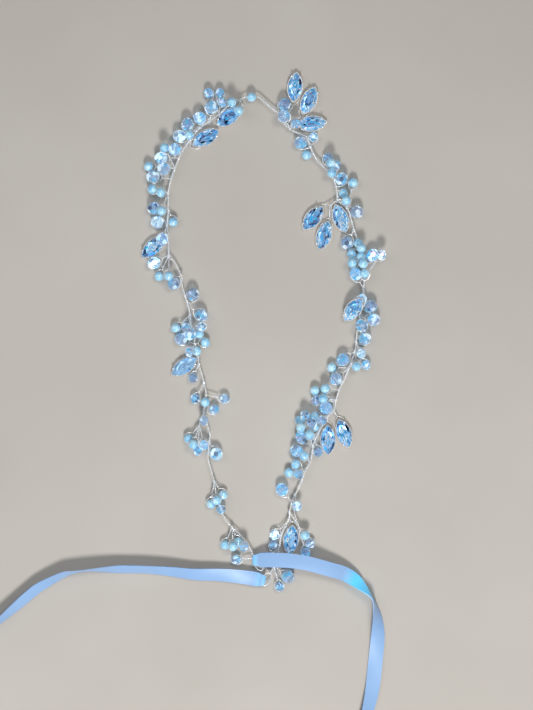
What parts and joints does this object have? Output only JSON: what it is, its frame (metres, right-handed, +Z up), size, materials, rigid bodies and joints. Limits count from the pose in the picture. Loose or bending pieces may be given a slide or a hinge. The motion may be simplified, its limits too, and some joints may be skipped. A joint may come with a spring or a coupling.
{
  "type": "hair vine",
  "caption": "Bendable silver wire hair vine with faceted clear beads, milky beads and pointed oval stones in claw settings, and a satin ribbon at each end.",
  "frame": {"origin": "on the table, under the middle of the wirework's own box (the ribbons left out)", "axes": "+Y along the vine towards the bead where its two halves meet, +X to the right as it lies, +Z up from the table"},
  "size_m": [0.1978, 0.3255, 0.0107],
  "materials": {
    "wire": "polished silver wire",
    "setting": "polished silver",
    "crystal": "clear faceted with a rainbow coat",
    "small_crystal": "clear faceted with a rainbow coat",
    "opal": "milky glass",
    "stone": "faceted with a foil back",
    "ribbon": "satin"
  },
  "bodies": {
    "root": {"stem_left": "wire", "stem_right": "wire", "top_opal": "opal", "crystals_left": "crystal", "crystals_right": "crystal", "small_crystals_left": "small_crystal", "small_crystals_right": "small_crystal", "opals_left": "opal", "opals_right": "opal", "stone_left_1": "stone", "stone_left_2": "stone", "stone_left_3": "stone", "stone_left_4": "stone", "stone_right_1": "stone", "stone_right_2": "stone", "stone_right_3": "stone", "stone_right_4": "stone", "stone_right_5": "stone", "stone_right_6": "stone", "stone_right_7": "stone", "stone_right_8": "stone", "stone_right_9": "stone", "stone_right_10": "stone", "setting_left_1": "setting", "setting_left_2": "setting", "setting_left_3": "setting", "setting_left_4": "setting", "setting_right_1": "setting", "setting_right_2": "setting", "setting_right_3": "setting", "setting_right_4": "setting", "setting_right_5": "setting", "setting_right_6": "setting", "setting_right_7": "setting", "setting_right_8": "setting", "setting_right_9": "setting", "setting_right_10": "setting", "ribbon_left": "ribbon", "ribbon_right": "ribbon"}
  },
  "joints": []
}
